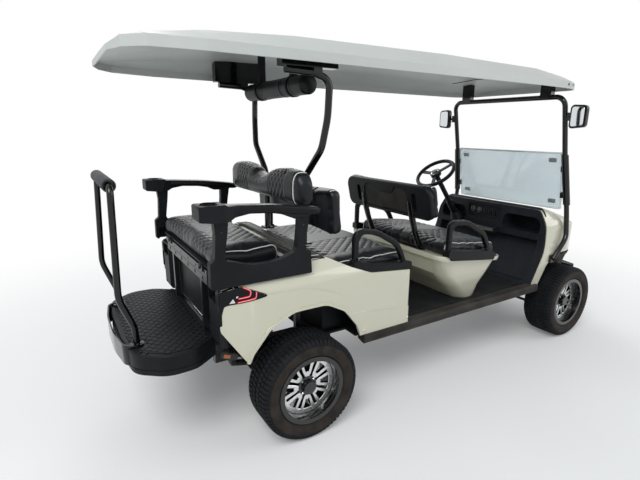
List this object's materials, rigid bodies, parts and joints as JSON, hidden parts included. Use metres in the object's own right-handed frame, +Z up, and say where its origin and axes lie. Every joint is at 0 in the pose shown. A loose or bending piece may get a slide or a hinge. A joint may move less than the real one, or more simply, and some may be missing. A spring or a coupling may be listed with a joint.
{
  "type": "golf cart",
  "caption": "Lifted golf cart with two forward benches, a bench over the rear axle that faces back, a footrest with a grab bar, a long roof and a fold-down windshield.",
  "frame": {"origin": "on the ground, at the middle of the footprint", "axes": "+X forward, +Y to the left, +Z up"},
  "size_m": [3.78, 1.4, 2.142],
  "materials": {
    "ivory_body": "gloss moulded panel",
    "black_plastic": "grained black plastic",
    "black_gloss": "glossy black plastic",
    "frame_black": "powder coat",
    "gloss_tube": "glossy black paint",
    "seat_vinyl": "stitched upholstery",
    "wheel_rim": "black with machined spokes",
    "tyre_rubber": "tread rubber",
    "lamp_red": "lamp cover",
    "lamp_clear": "lamp cover",
    "pane": "clear sheet",
    "battery_case": "case",
    "axle_iron": "painted casting"
  },
  "bodies": {
    "chassis": {"frame_rails": "frame_black", "cross_members": "frame_black", "outriggers": "frame_black", "floor_pan": "black_plastic", "running_boards": "black_plastic", "front_cowl": "ivory_body", "headlights": "lamp_clear", "front_bumper": "black_plastic", "dash": "black_plastic", "pedals": "frame_black", "steering_column": "black_plastic", "rear_body": "ivory_body", "tail_panel": "black_plastic", "tail_lights": "lamp_red", "battery_block": "battery_case", "seat_pod": "ivory_body", "front_seat_cushion": "seat_vinyl", "front_seat_back": "seat_vinyl", "front_back_shell": "black_plastic", "front_back_frame": "frame_black", "hip_restraints_front": "black_plastic", "middle_seat_cushion": "seat_vinyl", "middle_seat_back": "seat_vinyl", "hip_restraints_middle": "black_plastic", "rear_seat_frame": "frame_black", "rear_seat_back": "seat_vinyl", "seat_back_mounts": "frame_black", "armrests": "black_plastic", "footrest": "black_plastic", "grab_bar": "gloss_tube", "roof": "ivory_body", "rear_struts": "gloss_tube", "front_struts": "gloss_tube", "windshield": "pane", "windshield_clips": "black_plastic", "sound_bar": "black_plastic", "mirrors": "black_gloss", "front_axle": "axle_iron", "rear_axle": "axle_iron"},
    "steering": {"steering_wheel": "black_plastic"},
    "left_knuckle": {"knuckle_left": "axle_iron"},
    "right_knuckle": {"knuckle_right": "axle_iron"},
    "track_rod": {"tie_rod": "axle_iron"},
    "flip_seat": {"rear_seat_board": "black_plastic", "rear_seat_cushion": "seat_vinyl"},
    "wheel_front_left": {"tyre_front_left": "tyre_rubber", "rim_front_left": "wheel_rim"},
    "wheel_front_right": {"tyre_front_right": "tyre_rubber", "rim_front_right": "wheel_rim"},
    "wheel_rear_left": {"tyre_rear_left": "tyre_rubber", "rim_rear_left": "wheel_rim"},
    "wheel_rear_right": {"tyre_rear_right": "tyre_rubber", "rim_rear_right": "wheel_rim"}
  },
  "joints": [
    {"name": "steer_left", "type": "hinge", "parent": "chassis", "child": "left_knuckle", "pos_m": [1.44, 0.44, 0.292], "axis": [0, 0, 1], "range_deg": [-25, 25]},
    {"name": "steer_right", "type": "hinge", "parent": "chassis", "child": "right_knuckle", "pos_m": [1.44, -0.44, 0.292], "axis": [0, 0, 1], "range_deg": [-25, 25]},
    {"name": "steering_wheel_turn", "type": "hinge", "parent": "chassis", "child": "steering", "pos_m": [0.83, 0.3, 1.29], "axis": [-0.6077, 0, 0.7942], "range_deg": [-300, 300]},
    {"name": "track_rod_pivot", "type": "hinge", "parent": "left_knuckle", "child": "track_rod", "pos_m": [1.31, 0.44, 0.238], "axis": [0, 0, 1], "range_deg": [-25, 25]},
    {"name": "rear_seat_flip", "type": "hinge", "parent": "chassis", "child": "flip_seat", "pos_m": [-1.464, 0, 0.98], "axis": [0, -1, 0], "range_deg": [0, 180]},
    {"name": "spin_front_left", "type": "hinge", "parent": "left_knuckle", "child": "wheel_front_left", "pos_m": [1.44, 0.575, 0.292], "axis": [0, 1, 0], "continuous": true},
    {"name": "spin_front_right", "type": "hinge", "parent": "right_knuckle", "child": "wheel_front_right", "pos_m": [1.44, -0.575, 0.292], "axis": [0, 1, 0], "continuous": true},
    {"name": "spin_rear_left", "type": "hinge", "parent": "chassis", "child": "wheel_rear_left", "pos_m": [-1, 0.575, 0.292], "axis": [0, 1, 0], "continuous": true},
    {"name": "spin_rear_right", "type": "hinge", "parent": "chassis", "child": "wheel_rear_right", "pos_m": [-1, -0.575, 0.292], "axis": [0, 1, 0], "continuous": true}
  ],
  "couplings": [
    {"joint": "steer_right", "follows": "steer_left", "ratio": 1},
    {"joint": "steering_wheel_turn", "follows": "steer_left", "ratio": 12},
    {"joint": "track_rod_pivot", "follows": "steer_left", "ratio": -1}
  ]
}
